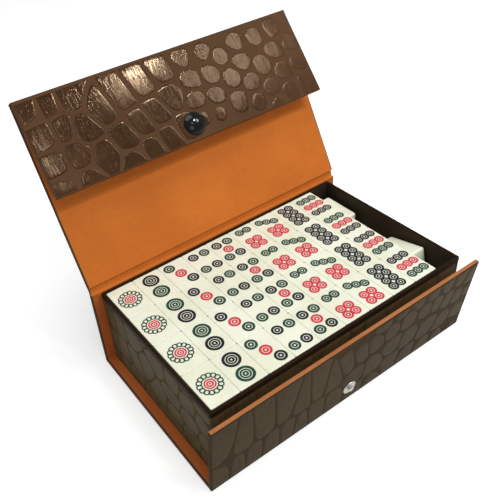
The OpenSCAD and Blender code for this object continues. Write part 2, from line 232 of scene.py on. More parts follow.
# ---------------------------------------------------------------- material helpers
def feed(tree, target, inputs):
    """Sets or links a node's inputs. Colours are given as red, green and blue."""
    for key, value in inputs.items():
        socket = target.inputs[key]
        if isinstance(value, bpy.types.NodeSocket):
            tree.links.new(value, socket)
        elif socket.type == "RGBA":
            socket.default_value = (*value, 1.0)
        else:
            socket.default_value = value


def node(tree, kind, inputs, **settings):
    made = tree.nodes.new("ShaderNode" + kind)
    for key, value in settings.items():
        setattr(made, key, value)
    feed(tree, made, inputs)
    return made


def new_material(name):
    material = bpy.data.materials.new(name)
    material.use_nodes = True
    tree = material.node_tree
    shader = next(n for n in tree.nodes if n.type == "BSDF_PRINCIPLED")
    return material, tree, shader


def calculate(tree, operation, a, b):
    return node(tree, "Math", {0: a, 1: b}, operation=operation).outputs[0]


def weighted_sum(tree, *parts):
    """Sum of values, each times its weight."""
    total, *others = [calculate(tree, "MULTIPLY", value, weight) for value, weight in parts]
    for part in others:
        total = calculate(tree, "ADD", total, part)
    return total


def map_range(tree, value, a, b, c=0.0, d=1.0, kind="SMOOTHSTEP"):
    """Takes the range from a to b onto the range from c to d."""
    inputs = {"Value": value, "From Min": a, "From Max": b, "To Min": c, "To Max": d}
    return node(tree, "MapRange", inputs, interpolation_type=kind).outputs["Result"]


def mix_colour(tree, factor, a, b):
    return node(tree, "Mix", {0: factor, 6: a, 7: b}, data_type="RGBA").outputs[2]


def noise(tree, vector, scale, detail=3.0, rough=0.55, distortion=0.0):
    inputs = {"Vector": vector, "Scale": scale, "Detail": detail, "Roughness": rough,
              "Distortion": distortion}
    return node(tree, "TexNoise", inputs).outputs["Fac"]


def object_coords(tree, rotate_x=0.0, scale=(1, 1, 1), offset=(0, 0, 0)):
    """The case's own coordinates in metres, turned about X, stretched and shifted."""
    inputs = {"Vector": node(tree, "TexCoord", {}).outputs["Object"],
              "Rotation": (math.radians(rotate_x), 0, 0), "Scale": scale, "Location": offset}
    return node(tree, "Mapping", inputs).outputs["Vector"]


def bump(tree, height, strength=1.0, distance=1.0):
    """Normal from a height in metres, which distance scales."""
    inputs = {"Strength": strength, "Distance": distance, "Height": height}
    return node(tree, "Bump", inputs).outputs["Normal"]


# ---------------------------------------------------------------- materials
WARM_SHEEN = (1.0, 0.71, 0.44)


def leather_ground(name, colour, seed=0.0, shine=0.05):
    """Matt ground of the embossed leatherette, between its scales."""
    material, tree, shader = new_material(name)
    base = object_coords(tree, offset=(seed, 0.3 * seed, 0))
    cloud = noise(tree, base, 22.0, 4.0)
    grain = noise(tree, base, 1100.0, 3.0, 0.6)
    pores = node(tree, "TexVoronoi", {"Vector": base, "Scale": 1500.0}, feature="DISTANCE_TO_EDGE")
    pits = map_range(tree, pores.outputs["Distance"], 0.0, 0.12)
    dark = tuple(c * 0.78 for c in colour)
    patches = map_range(tree, weighted_sum(tree, (cloud, 0.6), (grain, 0.4)), 0.35, 0.65)
    feed(tree, shader, {
        "Base Color": mix_colour(tree, patches, dark, colour),
        "Roughness": map_range(tree, grain, 0.3, 0.7, 0.46, 0.6, "LINEAR"),
        "Specular IOR Level": shine,
        "Specular Tint": WARM_SHEEN,
        "Normal": bump(tree, weighted_sum(tree, (grain, 0.00003), (pits, 0.00002))),
    })
    return material


def leather_scales(name, colour, gloss=0.07, seed=0.0, shine=0.12, painted_reflection=None):
    """Glossy scales with fine creases that run across the case. Given a colour for
    the right end, they turn to it there: a painted reflection that lightens them."""
    material, tree, shader = new_material(name)
    base = object_coords(tree, offset=(seed, 0.3 * seed, 0))
    streaks = object_coords(tree, scale=(1.0, 0.14, 0.14), offset=(seed, 0, 0))
    cloud = noise(tree, base, 60.0)
    grain = noise(tree, base, 900.0, 3.0, 0.6)
    waves = noise(tree, streaks, 120.0, 3.0, 0.55, 0.6)
    creases = map_range(tree, noise(tree, streaks, 700.0, 3.0, 0.6, 0.5), 0.40, 0.52)
    dark = tuple(c * 0.7 for c in colour)
    light = tuple(c * 1.15 for c in colour)
    tone = mix_colour(tree, map_range(tree, cloud, 0.35, 0.65), dark, colour)
    tone = mix_colour(tree, calculate(tree, "MULTIPLY", creases, 0.5), tone, light)
    # Painted reflection: towards the case's right end the scales turn to a lighter colour
    if painted_reflection:
        x = node(tree, "SeparateXYZ", {0: base}).outputs["X"]
        tone = mix_colour(tree, map_range(tree, x, 0.035, 0.085, 0.0, 0.8), tone, painted_reflection)
    rough = map_range(tree, cloud, 0.3, 0.7, gloss - 0.02, gloss + 0.06, "LINEAR")
    relief = weighted_sum(tree, (creases, 0.000017), (waves, 0.00011), (grain, 0.000003))
    feed(tree, shader, {
        "Base Color": tone,
        "Roughness": weighted_sum(tree, (grain, 0.03), (rough, 1.0)),
        "Specular IOR Level": shine,
        "Specular Tint": WARM_SHEEN,
        "Normal": bump(tree, relief),
    })
    return material


def paper(name, colour, dark, rotate_x=0.0, rough=0.62, fibre=0.35):
    """Coated lining paper with faint fibres and slight unevenness of tone."""
    material, tree, shader = new_material(name)
    cloud = noise(tree, object_coords(tree, rotate_x), 16.0)
    threads = noise(tree, object_coords(tree, rotate_x, (260.0, 1400.0, 700.0)), 1.0)
    mixed = weighted_sum(tree, (cloud, 0.65), (threads, fibre))
    feed(tree, shader, {
        "Base Color": mix_colour(tree, map_range(tree, mixed, 0.34, 0.66), dark, colour),
        "Roughness": map_range(tree, threads, 0.3, 0.7, rough, rough + 0.12, "LINEAR"),
        "Specular IOR Level": 0.22,
        "Normal": bump(tree, mixed, 0.5, 0.00006),
    })
    return material


def tile_plastic(name, colour, light):
    """Ivory melamine: faint clouds, a little light scattering, polished."""
    material, tree, shader = new_material(name)
    base = object_coords(tree)
    cloud = noise(tree, base, 40.0)
    fine = noise(tree, base, 420.0, 2.0)
    mixed = weighted_sum(tree, (cloud, 0.8), (fine, 0.2))
    feed(tree, shader, {
        "Base Color": mix_colour(tree, map_range(tree, mixed, 0.38, 0.62), colour, light),
        "Roughness": map_range(tree, fine, 0.3, 0.7, 0.16, 0.26, "LINEAR"),
        "Subsurface Weight": 0.12,
        "Subsurface Radius": (0.003, 0.0028, 0.0016),
        "Subsurface Scale": 1.0,
        "Normal": bump(tree, cloud, 0.3, 0.00004),
    })
    return material


def ink(name, colour, light):
    """Paint of the marks on the tiles, uneven where it was wiped."""
    material, tree, shader = new_material(name)
    wear = noise(tree, object_coords(tree), 900.0)
    feed(tree, shader, {
        "Base Color": mix_colour(tree, map_range(tree, wear, 0.3, 0.75), colour, light),
        "Roughness": map_range(tree, wear, 0.3, 0.7, 0.3, 0.5, "LINEAR"),
        "Specular IOR Level": 0.2,
        "Normal": bump(tree, wear, 0.4, 0.00003),
    })
    return material


def polished(name, colour, rough, metallic, specular):
    """Smooth metal or enamel with faint clouds and fine wear."""
    material, tree, shader = new_material(name)
    base = object_coords(tree)
    fine = noise(tree, base, 1500.0)
    light = tuple(c * 1.12 + 0.004 for c in colour)
    feed(tree, shader, {
        "Base Color": mix_colour(tree, noise(tree, base, 220.0, 2.0), colour, light),
        "Roughness": map_range(tree, fine, 0.3, 0.7, rough, rough + 0.08, "LINEAR"),
        "Metallic": metallic,
        "Specular IOR Level": specular,
        "Normal": bump(tree, fine, 0.2, 0.00002),
    })
    return material


BROWN_GROUND = (0.095, 0.049, 0.024)
BROWN_SCALE = (0.049, 0.0225, 0.0098)
LID_TILT = LID_OPEN - 180             # lays the open lid's plane on X and Y

mat_ground = leather_ground("leather_ground", BROWN_GROUND)
mat_scales = leather_scales("leather_scales", BROWN_SCALE)
# The flap's scales lighten towards the case's right end, a painted reflection
mat_flap_scales = leather_scales("flap_scales", BROWN_SCALE, painted_reflection=(0.079, 0.040, 0.019))
# The front panel's leatherette as darker copies of the same material: painted shade. Its scales are a little
# lighter than their ground there, a painted reflection.
mat_shaded_front = leather_ground("front_ground", (0.060, 0.039, 0.018), 0.9, 0.02)
mat_shaded_front_scales = leather_scales("front_scales", (0.070, 0.046, 0.019), 0.3, 1.1, 0.02)
mat_tray = leather_ground("tray_ground", (0.092, 0.067, 0.033), 0.4, 0.01)
mat_tray_scales = leather_scales("tray_scales", (0.108, 0.080, 0.037), 0.34, 0.7, 0.02)
mat_dark_band = leather_ground("tray_dark_band", (0.020, 0.011, 0.006), 1.4)
mat_orange = paper("paper_orange", (0.58, 0.156, 0.016), (0.49, 0.122, 0.011), LID_TILT)
# The orange lining paper again, darker and redder for the base and the spine: painted shade
mat_shaded_paper = paper("paper_shaded", (0.50, 0.124, 0.024), (0.40, 0.096, 0.018))
mat_lip = paper("paper_worn", (0.38, 0.135, 0.040), (0.28, 0.095, 0.028))
mat_tray_paper = paper("paper_dark", (0.034, 0.021, 0.011), (0.022, 0.013, 0.007), rough=0.6)
mat_board = paper("greyboard", (0.33, 0.29, 0.23), (0.24, 0.21, 0.17), rough=0.85, fibre=0.56)
mat_tile = tile_plastic("tile_ivory", (0.722, 0.736, 0.574), (0.779, 0.798, 0.650))
INKS = {
    "k": ink("ink_navy", (0.009, 0.009, 0.014), (0.026, 0.026, 0.036)),
    "g": ink("ink_green", (0.008, 0.040, 0.024), (0.028, 0.080, 0.052)),
    "r": ink("ink_red", (0.52, 0.022, 0.046), (0.62, 0.075, 0.105)),
}
mat_cap = polished("cap_enamel", (0.003, 0.0035, 0.004), 0.07, 0.0, 0.2)
mat_nickel = polished("nickel", (0.44, 0.43, 0.39), 0.26, 1.0, 0.5)


# ---------------------------------------------------------------- boards
def skin(board, material):
    """Cover round a board, with soft edges."""
    bm = bmesh.new()
    low, high = BOARD[board]
    rounded_box(bm, (-CASE_X, low, 0), (CASE_X, high, PANEL), 0.75, 4)
    return add_object(board + "_skin", bm, ON[board], material, BODY[board], "leatherette",
                      (board + "_cover",))


def lining(board, material):
    """Lining paper, let into the board's inner side and a little proud of it."""
    bm = bmesh.new()
    low, high = LINING[board]
    half = CASE_X - TURN_IN
    rounded_box(bm, (-half, low, PANEL - 0.3), (half, high, PANEL + 0.08), 0.06, 1)
    return add_object(board + "_paper", bm, ON[board], material, BODY[board], "lining_paper",
                      (board + "_lining",))


def lip(board, width=0.9, depth=0.35, inset=0.5, proud=0.02):
    """Lining paper turned over a board's far edge."""
    bm = bmesh.new()
    edge = BOARD[board][1]
    half = CASE_X - inset
    rounded_box(bm, (-half, edge - width, depth), (half, edge + proud, PANEL + proud), 0.3, 2)
    return add_object(board + "_lip", bm, ON[board], mat_lip, BODY[board], "lining_paper")


def drill(obj, board, y, r, z0, z1):
    """Cuts a round hole into a finished piece, at a distance y from its board's fold."""
    bm = bmesh.new()
    lathe(bm, [(0, z0), (r, z0), (r, z1), (0, z1)], 48, y)
    bmesh.ops.recalc_face_normals(bm, faces=bm.faces)
    bm.transform(Matrix.Scale(MM, 4) @ ON[board])
    mesh = bpy.data.meshes.new("cutter")
    bm.to_mesh(mesh)
    bm.free()
    cutter = bpy.data.objects.new("cutter", mesh)
    bpy.context.scene.collection.objects.link(cutter)
    hole = obj.modifiers.new("hole", "BOOLEAN")
    hole.operation = "DIFFERENCE"
    hole.solver = "EXACT"
    hole.object = cutter
    obj.modifiers.move(len(obj.modifiers) - 1, 0)
    evaluated = obj.evaluated_get(bpy.context.evaluated_depsgraph_get())
    drilled = bpy.data.meshes.new_from_object(evaluated)
    obj.modifiers.clear()
    obj.data = drilled
    bpy.data.objects.remove(cutter)


skin("lid", mat_ground)
lining("lid", mat_orange)
for piece in (skin("flap", mat_ground), lining("flap", mat_orange)):
    drill(piece, "flap", SNAP_ON_FLAP, r=2.7, z0=PANEL - 1.7, z1=PANEL + 1.0)
# The front panel's cover in the darker copy of the leatherette, painted shade
skin("front", mat_shaded_front)
lip("front")
lining("front", mat_orange)
# The base's and spine's linings take the shaded copy of the paper, painted shade
for board in ("base", "spine"):
    skin(board, mat_ground)
    lining(board, mat_shaded_paper)


# ---------------------------------------------------------------- embossed scales
def clip(poly, px, py, nx, ny):
    """The part of a polygon that lies behind the line through (px, py) with normal (nx, ny)."""
    kept = []
    for i, (ax, ay) in enumerate(poly):
        bx, by = poly[(i + 1) % len(poly)]
        da = (ax - px) * nx + (ay - py) * ny
        db = (bx - px) * nx + (by - py) * ny
        if da <= 0:
            kept.append((ax, ay))
        if (da < 0 < db) or (db < 0 < da):
            t = da / (da - db)
            kept.append((ax + (bx - ax) * t, ay + (by - ay) * t))
    return kept if len(kept) > 2 else []


def cut_corners(poly, ratio):
    """Cuts a polygon's corners, at a share of each side's length."""
    cut = []
    for k, (ax, ay) in enumerate(poly):
        bx, by = poly[(k + 1) % len(poly)]
        cut.append((ax + (bx - ax) * ratio, ay + (by - ay) * ratio))
        cut.append((bx - (bx - ax) * ratio, by - (by - ay) * ratio))
    return cut


def area(poly):
    return 0.5 * abs(sum(a[0] * b[1] - b[0] * a[1] for a, b in zip(poly, poly[1:] + poly[:1])))


# Sizes of a hide's scales, long ones in level columns at the left and round ones at the right
COLUMN = 14.4                         # width of a column of long scales
WIDER = 1.8                           # what round scales add to it
LONG = (17, 21, 33)                   # lengths of long scales
ROUND = 16.6                          # length of round scales


def roundness(x, belly, width):
    """From 0 for the long scales left of the belly's edge to 1 for the round ones right of it."""
    return min(max((x - belly) / width + 0.5, 0.0), 1.0)


def hide_seeds(x0, x1, y0, y1, rng, belly):
    """Middles of a hide's scales, in columns, each with its roundness."""
    seeds = []
    x = x0 - rng.uniform(0, 6)
    group = 0
    while x < x1 + 16:
        share = roundness(x, belly, 40.0)
        width = COLUMN + rng.uniform(-1.5, 2.5) + WIDER * share
        if group == 0:
            # Columns that stand level, with scales of the same length
            group = rng.choice((1, 2, 2, 3))
            length = rng.choice(LONG)
            first = y0 - rng.uniform(0.05, 0.95) * length
        group -= 1
        tall = (1 - share) * length + share * ROUND
        y = first if share < 0.6 else y0 - rng.uniform(0, 1) * tall
        shift_x, shift_y = (0.02 + 0.16 * share) * width, (0.02 + 0.12 * share) * tall
        while y < y1 + tall:
            slant = 0.07 * (y - y0) * (1 - share)
            seeds.append((x + width / 2 + rng.uniform(-shift_x, shift_x) + slant,
                          y + tall / 2 + rng.uniform(-shift_y, shift_y), share))
            y += tall * (1 + rng.uniform(-0.1, 0.12) * share)
        x += width
    return seeds


# Middles of the scales on the flap and on the front panel, as listed: X along the case from its
# middle, and the distance from the fold
FLAP_CELLS = (
    (-100.0, 9.0), (-87.6, 9.0), (-73.6, 9.0), (-99.0, 25.4), (-85.0, 24.6), (-72.4, 29.0), (-57.0, 21.0),
    (-41.0, 17.0), (-24.0, 13.0), (-7.0, 10.4), (12.0, 8.0), (-99.0, 46.0), (-84.4, 45.6), (-67.0, 52.4),
    (-48.6, 46.4), (-34.4, 41.0), (-21.6, 38.0), (-99.0, 61.0), (-50.0, 61.2), (-35.0, 57.6),
    (-20.6, 55.0), (-6.0, 32.0), (-5.0, 52.4), (12.0, 24.4), (28.0, 26.4), (43.4, 33.0), (9.0, 38.6),
    (25.0, 41.4), (57.0, 41.0), (8.0, 52.8), (21.6, 54.0), (40.0, 50.8), (54.4, 56.0), (69.6, 50.0),
    (41.0, 16.0), (55.0, 25.0), (30.0, 9.0), (58.0, 10.0), (75.0, 11.0), (91.0, 9.0), (71.0, 33.0),
    (85.0, 25.0), (101.0, 24.0), (85.0, 41.0), (100.0, 40.0), (84.0, 57.0), (100.0, 57.0), (69.0, 63.6),
    (-84.0, 62.4))
FRONT_CELLS = (
    (-99.6, 38.4), (-86.0, 36.4), (-70.6, 37.6), (-54.6, 39.0), (-41.8, 36.4), (-29.6, 37.6),
    (-16.6, 36.4), (-5.6, 40.0), (4.4, 43.0), (17.0, 45.0), (31.0, 47.0), (45.0, 48.0), (49.0, 27.0),
    (62.0, 45.0), (68.4, 24.0), (73.0, 44.0), (83.4, 41.0), (94.4, 38.0), (104.4, 38.0), (18.4, 21.0),
    (35.0, 29.0), (35.6, 11.0), (85.0, 19.0), (99.0, 19.0), (-100.4, 10.4), (-89.6, 10.0), (-77.4, 10.0),
    (-64.0, 9.6), (-51.0, 10.4), (-41.0, 9.6), (-29.0, 10.4), (-14.0, 11.0), (2.0, 22.0), (52.0, 7.0),
    (68.0, 4.4), (84.0, 4.0), (100.0, 4.0), (4.0, 5.0), (20.0, 4.0),
    (22.0, 59.6), (36.4, 60.4), (52.0, 59.6), (65.6, 58.4), (79.6, 57.6), (93.0, 56.0), (104.4, 52.0))
PLAIN_EDGE = 0.9                      # board's edge that the emboss leaves free
SMALLEST_SCALE = 6.0                  # square millimetres
NEIGHBOUR = 60.0                      # farthest scale that can touch another
# Outline of a scale's dome: distance in from its edge, and share of its height
DOME = ((0.0, -0.02), (0.16, 0.42), (0.5, 0.84), (1.0, 0.985), (1.5, 1.0))


def scale_outlines(seeds, x0, x1, y0, y1, band):
    """Each seed's cell, drawn in by nearly half a band, rounded and clipped to the box."""
    borders = ((x0 + PLAIN_EDGE, 0, -1, 0), (x1 - PLAIN_EDGE, 0, 1, 0),
               (0, y0 + PLAIN_EDGE, 0, -1), (0, y1 - PLAIN_EDGE, 0, 1))
    for sx, sy, share in seeds:
        # A box larger than any scale, cut halfway to each neighbour
        poly = [(sx - 30, sy - 40), (sx + 30, sy - 40), (sx + 30, sy + 40), (sx - 30, sy + 40)]
        inset = band * (0.42 - 0.09 * share)
        for tx, ty, _ in seeds:
            dx, dy = tx - sx, ty - sy
            d = math.hypot(dx, dy)
            if 0 < d <= NEIGHBOUR:
                nx, ny = dx / d, dy / d
                poly = clip(poly, sx + dx / 2 - nx * inset, sy + dy / 2 - ny * inset, nx, ny)
        if not poly:
            continue
        for ratio in (0.16 + 0.12 * share, 0.25, 0.25):
            poly = cut_corners(poly, ratio)
        # No corner lies much farther out than the nearest side, least of all on round scales
        reach = min(math.hypot(x - sx, y - sy) for x, y in poly)
        reach *= 1.9 - 0.2 * band + 4.0 * (1 - share) ** 2
        for k, (x, y) in enumerate(poly):
            pull = min(1.0, reach / max(math.hypot(x - sx, y - sy), 0.01))
            poly[k] = (sx + (x - sx) * pull, sy + (y - sy) * pull)
        for border in borders:
            poly = clip(poly, *border)
        if area(poly) > SMALLEST_SCALE:
            yield poly


def dome(bm, poly, height):
    """Low dome on a polygon, rising against Z."""
    n = len(poly)
    cx, cy = sum(p[0] for p in poly) / n, sum(p[1] for p in poly) / n
    nearest = min(math.hypot(x - cx, y - cy) for x, y in poly)
    rings = []
    for inset, level in DOME:
        size = max(0.0, 1 - inset / max(nearest, 0.8))
        rings.append([bm.verts.new((cx + (x - cx) * size, cy + (y - cy) * size, -height * level))
                      for x, y in poly])
    rings.append([bm.verts.new((cx, cy, -height))])
    bridge_all(bm, rings)


def scales(name, place, body, slot, material, box, belly, seed=0, cells=(), mirror=1, band=3.2,
           height=0.12):
    """Scales within a box of a flat frame, each a raised patch. Their middles are drawn from
    the seed, or given as cells. `mirror` is -1 where the frame's X runs against the case's."""
    if cells:
        seeds = [(mirror * x, y, roundness(x, belly, 30.0)) for x, y in cells]
    else:
        seeds = hide_seeds(*box, random.Random(seed), belly)
    bm = bmesh.new()
    for poly in scale_outlines(seeds, *box, band):
        dome(bm, poly, height)
    bmesh.ops.remove_doubles(bm, verts=list(bm.verts), dist=0.004)
    add_object(name, bm, place, material, body, slot, (), 80, False)


def emboss(board, material, belly, reach=None, **options):
    """Scales on a board's outer face."""
    scales(board + "_scales", ON[board], BODY[board], "leatherette", material,
           (-CASE_X, CASE_X, *(reach or BOARD[board])), belly, **options)


emboss("flap", mat_flap_scales, -8, cells=FLAP_CELLS, band=2.9, height=0.08)
emboss("lid", mat_scales, 10, seed=23, band=3.6)
# X of the front panel's flat frame runs against the case's. The panel's lip stays plain
emboss("front", mat_shaded_front_scales, 2, reach=(0.8, 61.2), cells=FRONT_CELLS, mirror=-1, band=1.8)
emboss("base", mat_scales, -10, seed=47, height=0.02)
emboss("spine", mat_scales, 0, seed=59)


# ---------------------------------------------------------------- folds
OUTER = {"thickness": 0.3, "half": CASE_X - 0.25, "slot": "leatherette"}
INNER = {"thickness": 0.1, "half": CASE_X - TURN_IN, "slot": "lining_paper"}
THICK_INNER = {**INNER, "thickness": 0.12}


def at(board, y, z):
    """A point of a board's flat frame, as Y and Z in the case's frame."""
    v = ON[board] @ Vector((0, y, z))
    return (v.y, v.z)


def along(board, *points):
    return [at(board, y, z) for y, z in points]


def smooth_path(points, per=5):
    """Catmull-Rom curve through (y, z) points."""
    path = []
    padded = [points[0], *points, points[-1]]
    for corners in zip(padded, padded[1:], padded[2:], padded[3:]):
        for k in range(per):
            t = k / per
            path.append([0.5 * (2 * b + (c - a) * t + (2 * a - 5 * b + 4 * c - d) * t * t
                                + (3 * b - a - 3 * c + d) * t ** 3) for a, b, c, d in zip(*corners)])
    path.append(points[-1])
    return path


def strip(name, points, material, kind, body=None):
    """Bent sheet along the case, through (y, z) points."""
    bm = bmesh.new()
    sweep_sheet(bm, smooth_path(points), kind["half"], kind["thickness"])
    return add_object(name, bm, CASE, material, body, kind["slot"], (), 60, False)


def fold(name, points, material, kind, a, b, start, end):
    """Strip that bends over the joint between two bodies. The arguments a and b, those bodies, are not used.
    """
    obj = strip(name, points, material, kind)
    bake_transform(obj)


# Spine to lid
fold("fold_spine_outer",
     [(65.30, 62.5), (65.32, 64.2), (65.33, 65.5), *along("lid", (0.6, 0.03), (2.2, 0.04), (4.2, 0.06))],
     mat_ground, OUTER, "case", "lid", (65.1, 65.0), at("lid", 1.6, 0.3))
fold("fold_spine_inner",
     [(62.42, 63.2), (62.36, 64.3), (62.9, 64.75), (64.2, 64.9), (64.75, 65.6),
      *along("lid", (0.9, 0.75), (2.2, 0.75), (2.62, 1.5), (2.68, 2.7), (3.3, 2.98), (5.0, 2.97))],
     mat_orange, THICK_INNER, "case", "lid", (64.2, 64.9), at("lid", 1.8, 0.75))

# Base to spine, which never move
strip("fold_base_outer",
      [(60.5, 0.04), (63.6, 0.02), (64.75, 0.03), (65.2, 0.18), (65.32, 0.6), (65.33, 1.8), (65.31, 4.6)],
      mat_ground, {**OUTER, "half": CASE_X - 0.2}, "case")
strip("fold_base_paper",
      [(57.0, 2.93), (60.5, 2.96), (61.9, 2.98), (62.34, 3.25), (62.4, 4.4), (62.42, 7.0)],
      mat_shaded_paper, THICK_INNER, "case")

# Lid to crest strip, and crest strip to flap
fold("fold_crest_rear",
     [*along("lid", (123.5, 0.06), (126.2, 0.04), (127.8, 0.03)),
      *along("crest", (0.35, 0.03), (1.6, 0.02), (3.1, 0.02))],
     mat_ground, OUTER, "lid", "crest", at("lid", 127.6, 0.2), at("crest", 0.9, 0.2))
fold("fold_crest_front",
     [*along("crest", (3.0, 0.02), (4.5, 0.02), (5.75, 0.03)),
      *along("flap", (0.35, 0.03), (2.2, 0.04), (4.0, 0.06))],
     mat_ground, OUTER, "crest", "flap", at("crest", 5.3, 0.2), at("flap", 0.9, 0.2))
fold("fold_crest_rear_paper",
     [*along("lid", (124.0, 2.95), (127.0, 2.98), (127.62, 2.5), (127.7, 1.2)),
      *along("crest", (0.8, 0.95), (3.05, 0.9))],
     mat_orange, INNER, "lid", "crest", at("lid", 127.5, 1.0), at("crest", 1.0, 0.9))
fold("fold_crest_front_paper",
     [*along("crest", (3.0, 0.9), (5.0, 0.95)),
      *along("flap", (0.82, 1.2), (0.84, 2.4), (1.4, 2.97), (4.0, 2.95))],
     mat_orange, INNER, "crest", "flap", at("crest", 5.0, 0.9), at("flap", 0.9, 1.6))

# Base to front panel. The outer sheet runs towards the base, so that it thickens inwards
fold("fold_front_outer",
     [*along("front", (3.0, 0.05), (1.0, 0.03), (0.1, 0.06)), (-64.6, 0.03), (-62.3, 0.03), (-60.0, 0.05)],
     mat_shaded_front, OUTER, "front_panel", "case", at("front", 0.8, 0.2), (-64.3, 0.2))
fold("fold_front_paper",
     [(-60.0, 2.95), (-62.2, 2.97), (-62.5, 2.4), (-62.7, 1.1), (-63.6, 0.8),
      *along("front", (0.72, 1.6), (0.74, 2.5), (1.4, 2.97), (4.0, 2.95))],
     mat_orange, INNER, "case", "front_panel", (-62.9, 1.0), at("front", 0.75, 2.0))


# ---------------------------------------------------------------- tray
DARK_BAND_LOW = RIM_Z - 3.6              # lower side of the dark band round the rim
EMBOSS_TOP = RIM_Z - 3.4              # the scales end behind the dark band


def ring_wall(bm, x, y, z0, z1, wall, r, soft=0.5):
    """Upright frame of half sizes x and y, with round corners outside and a soft rim."""
    arc = [(soft * (1 - math.cos(a)), z1 - soft * (1 - math.sin(a)))
           for a in (math.pi / 6, math.pi / 3, math.pi / 2)]
    section = [(0, z0), (0, z1 - soft), *arc, *((wall - inset, z) for inset, z in arc[::-1]),
               (wall, z1 - soft), (wall, z0)]
    rings = []
    for inset, z in section:
        outline = rounded_outline(x - inset, y - inset, max(r - inset, 0.35), 6)
        rings.append([bm.verts.new((px, py, z)) for px, py in outline])
    bridge_all(bm, rings + rings[:1])


bm = bmesh.new()
ring_wall(bm, TRAY_X, TRAY_Y, PANEL, RIM_Z, wall=2.0, r=1.4)
add_object("tray_skin", bm, CASE, mat_tray, "case", "tray_leatherette", ("tray_wrap",))
# Near-black band round the top of the tray's walls, a little proud of the wrap
bm = bmesh.new()
ring_wall(bm, TRAY_X + 0.12, TRAY_Y + 0.12, DARK_BAND_LOW, RIM_Z + 0.1, wall=2.2, r=1.5)
add_object("tray_dark_band", bm, CASE, mat_dark_band, "case", "tray_leatherette")
# Each wall: its turn about Z, its distance from the middle, half its length, and its scales
for name, angle, distance, half, seed, height in (
        ("left", -90, TRAY_X, TRAY_Y, 61, 0.12), ("right", 90, TRAY_X, TRAY_Y, 67, 0.12),
        ("front", 0, TRAY_Y, TRAY_X, 71, 0.05)):
    wall = (Matrix.Rotation(math.radians(angle), 4, "Z") @ Matrix.Translation((0, -distance, 0))
            @ Matrix.Rotation(math.radians(90), 4, "X") @ Matrix.Scale(-1, 4, (0, 0, 1)))
    scales("tray_scales_" + name, wall, "case", "tray_leatherette", mat_tray_scales,
           (-half, half, PANEL, EMBOSS_TOP), 0, seed=seed, band=1.7, height=height)


# ---------------------------------------------------------------- tiles
def tile_middle(column, row):
    return (FIELD_LEFT + (column + 0.5) * TILE_PITCH[0], FIELD_BACK - (row + 0.5) * TILE_PITCH[1])


def upright_tile(bm, cx, cy, corner_r=0.9, edge_r=0.45):
    """Tile of the top layer: round corners seen from above, and a softer edge round its face."""
    low, high = TILE_TOP - TILE[2], TILE_TOP
    levels = [(edge_r, low), (0.0, low + edge_r)]
    levels += [(edge_r * (1 - math.cos(t)), high - edge_r * (1 - math.sin(t)))
               for t in (math.pi / 8 * i for i in range(5))]
    rings = []
    for inset, z in levels:
        outline = rounded_outline(TILE[0] / 2 - inset, TILE[1] / 2 - inset, corner_r - 0.6 * inset, 5)
        rings.append([bm.verts.new((cx + x, cy + y, z)) for x, y in outline])
    bridge_all(bm, rings)
    bm.faces.new(rings[0][::-1])
    bm.faces.new(rings[-1])


for column in range(9):
    bm = bmesh.new()
    for row in range(4):
        upright_tile(bm, *tile_middle(column, row))
    add_object(f"tiles_{column + 1}", bm, CASE, mat_tile, "case", "tile", (f"dots_{column + 1}",))

# ---------------------------------------------------------------- marks of the dot suit
MARK_Z = TILE_TOP + 0.03
MARK_STEP = 0.012                     # between marks that overlap, which lie on two levels
# Rings of a circle as shares of its radius, outside and inside
SMALL = ((1.03, 0.61), (0.50, 0.18))
BIG = ((1.02, 0.70), (0.62, 0.42), (0.34, 0.11))
FLOWER_R = 8.2
FLOWER_MIDDLE = ((0.46, 0.335), (0.275, 0.145), (0.085, 0.0))
PETALS = 14
PETAL = (1.92, 1.66)                  # half its length and half its width
PETAL_LINE = 0.78                     # width of its outline


def level_z(level):
    return MARK_Z + level % 2 * MARK_STEP


def disc_rings(bm, cx, cy, r, rings, z, steps):
    """Flat rings about a point, and a full disc where a ring has no hole."""
    for outside, inside in rings:
        rim = circle(bm, cx, cy, outside * r, z, steps)
        if inside > 0:
            bridge(bm, rim, circle(bm, cx, cy, inside * r, z, steps))
        else:
            bm.faces.new(rim)


def petal(bm, cx, cy, angle, z, steps=24):
    """Outline of a petal, blunter and wider at its outer end."""
    ca, sa = math.cos(angle), math.sin(angle)
    rings = []
    for inset in (0.0, PETAL_LINE):
        ring = []
        for i in range(steps):
            t = 2 * math.pi * i / steps
            c, s = math.cos(t), math.sin(t)
            u = (PETAL[0] - inset) * math.copysign(abs(c) ** 0.75, c)
            v = (PETAL[1] - inset) * math.copysign(abs(s) ** 0.75, s) * (1 + 0.14 * c)
            ring.append(bm.verts.new((cx + u * ca - v * sa, cy + u * sa + v * ca, z)))
        rings.append(ring)
    bridge_all(bm, rings)


def flower(meshes, cx, cy):
    """Ring of petals round a red middle."""
    for i in range(PETALS):
        a = 2 * math.pi * (i + 0.5) / PETALS
        out = FLOWER_R - PETAL[0]
        petal(meshes["g"], cx + out * math.cos(a), cy + out * math.sin(a), a, level_z(i))
    disc_rings(meshes["r"], cx, cy, FLOWER_R, FLOWER_MIDDLE, MARK_Z, 40)


